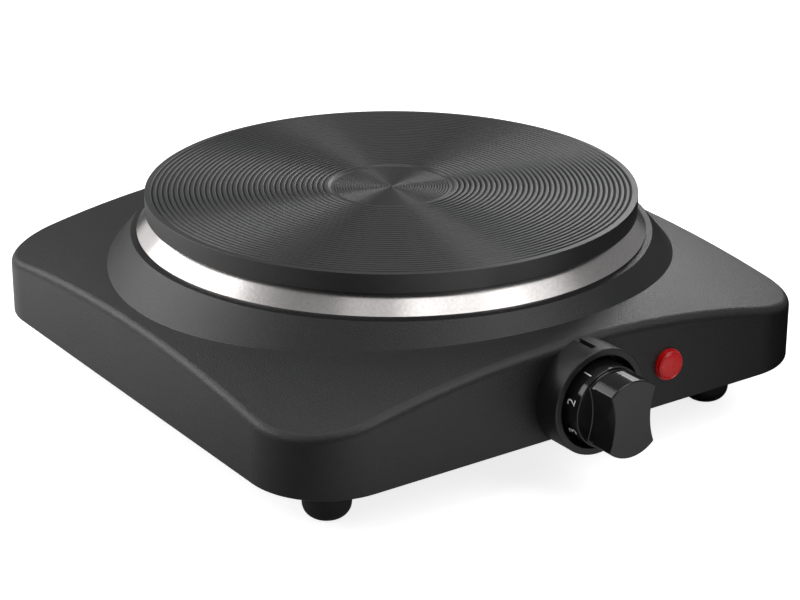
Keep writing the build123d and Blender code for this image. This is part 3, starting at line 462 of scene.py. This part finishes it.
# %% Grooves
GROOVE_FIRST = 25.6
GROOVE_PITCH = 2.0
GROOVE_COUNT = 33
GROOVE_WIDTH = 0.9
GROOVE_DEPTH = 0.9
WORN_WIDTH = 0.22  # worn edge beside a groove
WORN_DROP = 0.09
half_groove = GROOVE_WIDTH / 2
for ring in range(GROOVE_COUNT):
    middle = GROOVE_FIRST + ring * GROOVE_PITCH
    profile.append((middle - half_groove - WORN_WIDTH, TOP))
    profile.append((middle - half_groove, TOP - WORN_DROP))
    profile.append((middle, TOP - GROOVE_DEPTH))
    profile.append((middle + half_groove, TOP - WORN_DROP))
    profile.append((middle + half_groove + WORN_WIDTH, TOP))
print("grooves:", GROOVE_COUNT)

# %% Rim
RIM = plate_high.x / MM
RIM_ROUND = 0.25
SIDE_HEIGHT = 6.9  # upright side of the rim
RIM_HEIGHT = 8.0
RIM_TAPER = 2.5  # below its side the rim draws in by this much


def rounded(corner, first, second, steps=4):
    """Points of a round between first and second (the ends of the round), pulled towards corner."""
    points = []
    for step in range(steps + 1):
        t = step / steps
        near = [a + (b - a) * t for a, b in zip(first, corner)]
        far = [a + (b - a) * t for a, b in zip(corner, second)]
        points.append(tuple(a + (b - a) * t for a, b in zip(near, far)))
    return points


rim_foot = TOP - RIM_HEIGHT
profile += rounded((RIM, TOP), (RIM - RIM_ROUND, TOP), (RIM, TOP - RIM_ROUND))
profile += [(RIM, TOP - SIDE_HEIGHT), (RIM - RIM_TAPER, rim_foot)]
print("rim radius:", round(RIM, 2), "mm")

# %% Underside
FACE = 6.0  # thickness of the heated face
WALL = 4.5  # walls below it that hold the element
WALL_INSET = 6.0  # from the rim to the outer wall
HUB_RADIUS = 25.0  # outside of the inner wall
BOSS_RADIUS = 9.0
STUD_HOLE = 3.1  # radius of the hole in the boss
STUD_GRIP = 9.0  # depth of that hole
wall_foot = plate_low.z / MM
wall_radius = RIM - WALL_INSET
roof = TOP - FACE
hole_end = wall_foot + STUD_GRIP
profile += [(wall_radius, rim_foot), (wall_radius, wall_foot), (wall_radius - WALL, wall_foot)]
profile += [(wall_radius - WALL, roof), (HUB_RADIUS, roof), (HUB_RADIUS, wall_foot)]
profile += [(HUB_RADIUS - WALL, wall_foot), (HUB_RADIUS - WALL, roof), (BOSS_RADIUS, roof)]
profile += [(BOSS_RADIUS, wall_foot), (STUD_HOLE, wall_foot), (STUD_HOLE, hole_end), (0, hole_end)]
print("profile points:", len(profile))

# %% The plate from its profile
TURNING_STEPS = 240
MERGE_WITHIN = 0.002 * MM
SMOOTH_BELOW = radians(7)  # the grooves' edges stay sharp, the turned faces are smooth


def point_at(place):
    """Start a mesh that is a single vertex, in edit mode."""
    bpy.ops.object.select_all(action="DESELECT")
    bpy.ops.mesh.primitive_plane_add(size=MM)
    bpy.ops.object.mode_set(mode="EDIT")
    bpy.ops.mesh.select_all(action="SELECT")
    bpy.ops.mesh.merge(type="CENTER")
    bpy.ops.transform.translate(value=place)
    return bpy.context.object


def turned(name, points):
    """Turn (radius, height) points in mm round the upright axis."""
    places = [Vector((radius, 0, height)) * MM for radius, height in points]
    piece = point_at(places[0])
    piece.name = name
    piece.data.name = name
    for before, after in zip(places, places[1:]):
        bpy.ops.mesh.extrude_vertices_move(TRANSFORM_OT_translate={"value": after - before})
    bpy.ops.mesh.select_all(action="SELECT")
    bpy.ops.mesh.spin(steps=TURNING_STEPS, angle=2 * pi, center=(0, 0, 0), axis=(0, 0, 1))
    bpy.ops.mesh.select_all(action="SELECT")
    bpy.ops.mesh.remove_doubles(threshold=MERGE_WITHIN)
    bpy.ops.mesh.normals_make_consistent(inside=False)
    bpy.ops.object.mode_set(mode="OBJECT")
    bpy.ops.object.transform_apply(location=True, rotation=True, scale=True)
    bpy.ops.object.shade_smooth_by_angle(angle=SMOOTH_BELOW)
    return piece


plate = turned("cooking_plate", profile)
plate.data.materials.append(finishes["cast_plate"])
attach(plate, "base")
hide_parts("hot_plate")
print("cooking plate faces:", len(plate.data.polygons))

# %% [markdown]
# ## Numbers on the dial
# White numbers from 1 to 6 are printed on the side of the dial, with their tops towards the wall.
# An image could be wrapped on the dial, but numbers made of mesh stay crisp. Each one is a text made a mesh,
# laid above the dial, turned to its place and wrapped on the cone. Then it gets a little thickness, as print
# has, so that it doesn't flicker on the plastic.

# %% One number
collar_low, collar_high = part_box("knob_collar")
KNOB_Z = (collar_low.z + collar_high.z) / 2
FRONT_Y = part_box("housing")[0].y
NUMBER_OUT = 13.0 * MM  # from the front wall
NUMBER_START = 20.0 * MM  # height above the knob's axis, before the number is wrapped on the dial
NUMBER_SIZE = 5.2 * MM
STROKE_OFFSET = -0.02 * MM  # thins the strokes
PRINT_GAP = 0.02 * MM
PRINT_THICKNESS = 0.05 * MM


def printed(number, angle):
    """One number of the dial, turned by this angle from the top."""
    bpy.ops.object.select_all(action="DESELECT")
    bpy.ops.object.text_add()
    text = bpy.context.object
    text.data.body = str(number)
    text.data.size = NUMBER_SIZE
    text.data.align_x = "CENTER"
    text.data.align_y = "CENTER"
    text.data.offset = STROKE_OFFSET
    bpy.ops.object.convert(target="MESH")
    digit = bpy.context.object
    turn = Matrix.Rotation(-radians(angle), 4, "Y")
    lift = Matrix.Translation((0, FRONT_Y - NUMBER_OUT, NUMBER_START))
    digit.matrix_world = Matrix.Translation((0, 0, KNOB_Z)) @ turn @ lift
    wrap = digit.modifiers.new("wrap", "SHRINKWRAP")
    wrap.target = frame["nodes"]["control_knob"]
    wrap.wrap_method = "PROJECT"
    wrap.use_project_z = True
    wrap.use_negative_direction = True
    wrap.use_positive_direction = False
    wrap.offset = PRINT_GAP
    bpy.ops.object.modifier_apply(modifier="wrap")
    ink = digit.modifiers.new("ink", "SOLIDIFY")
    ink.thickness = PRINT_THICKNESS
    ink.offset = 1.0
    bpy.ops.object.modifier_apply(modifier="ink")
    bpy.ops.object.transform_apply(location=True, rotation=True, scale=True)
    return digit


print("knob axis height:", round(KNOB_Z, 4), "m")

# %% All numbers, as one piece
NUMBER_ANGLES = (30, 73, 116, 159, 202, 245)
digits = [printed(number, angle) for number, angle in enumerate(NUMBER_ANGLES, start=1)]
bpy.ops.object.select_all(action="DESELECT")
for digit in digits:
    digit.select_set(True)
bpy.context.view_layer.objects.active = digits[0]
bpy.ops.object.join()
numbers = bpy.context.object
numbers.name = "dial_numbers"
numbers.data.name = "dial_numbers"
numbers.data.materials.clear()
numbers.data.materials.append(finishes["white_plastic"])
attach(numbers, "knob")
print("dial numbers:", len(digits))
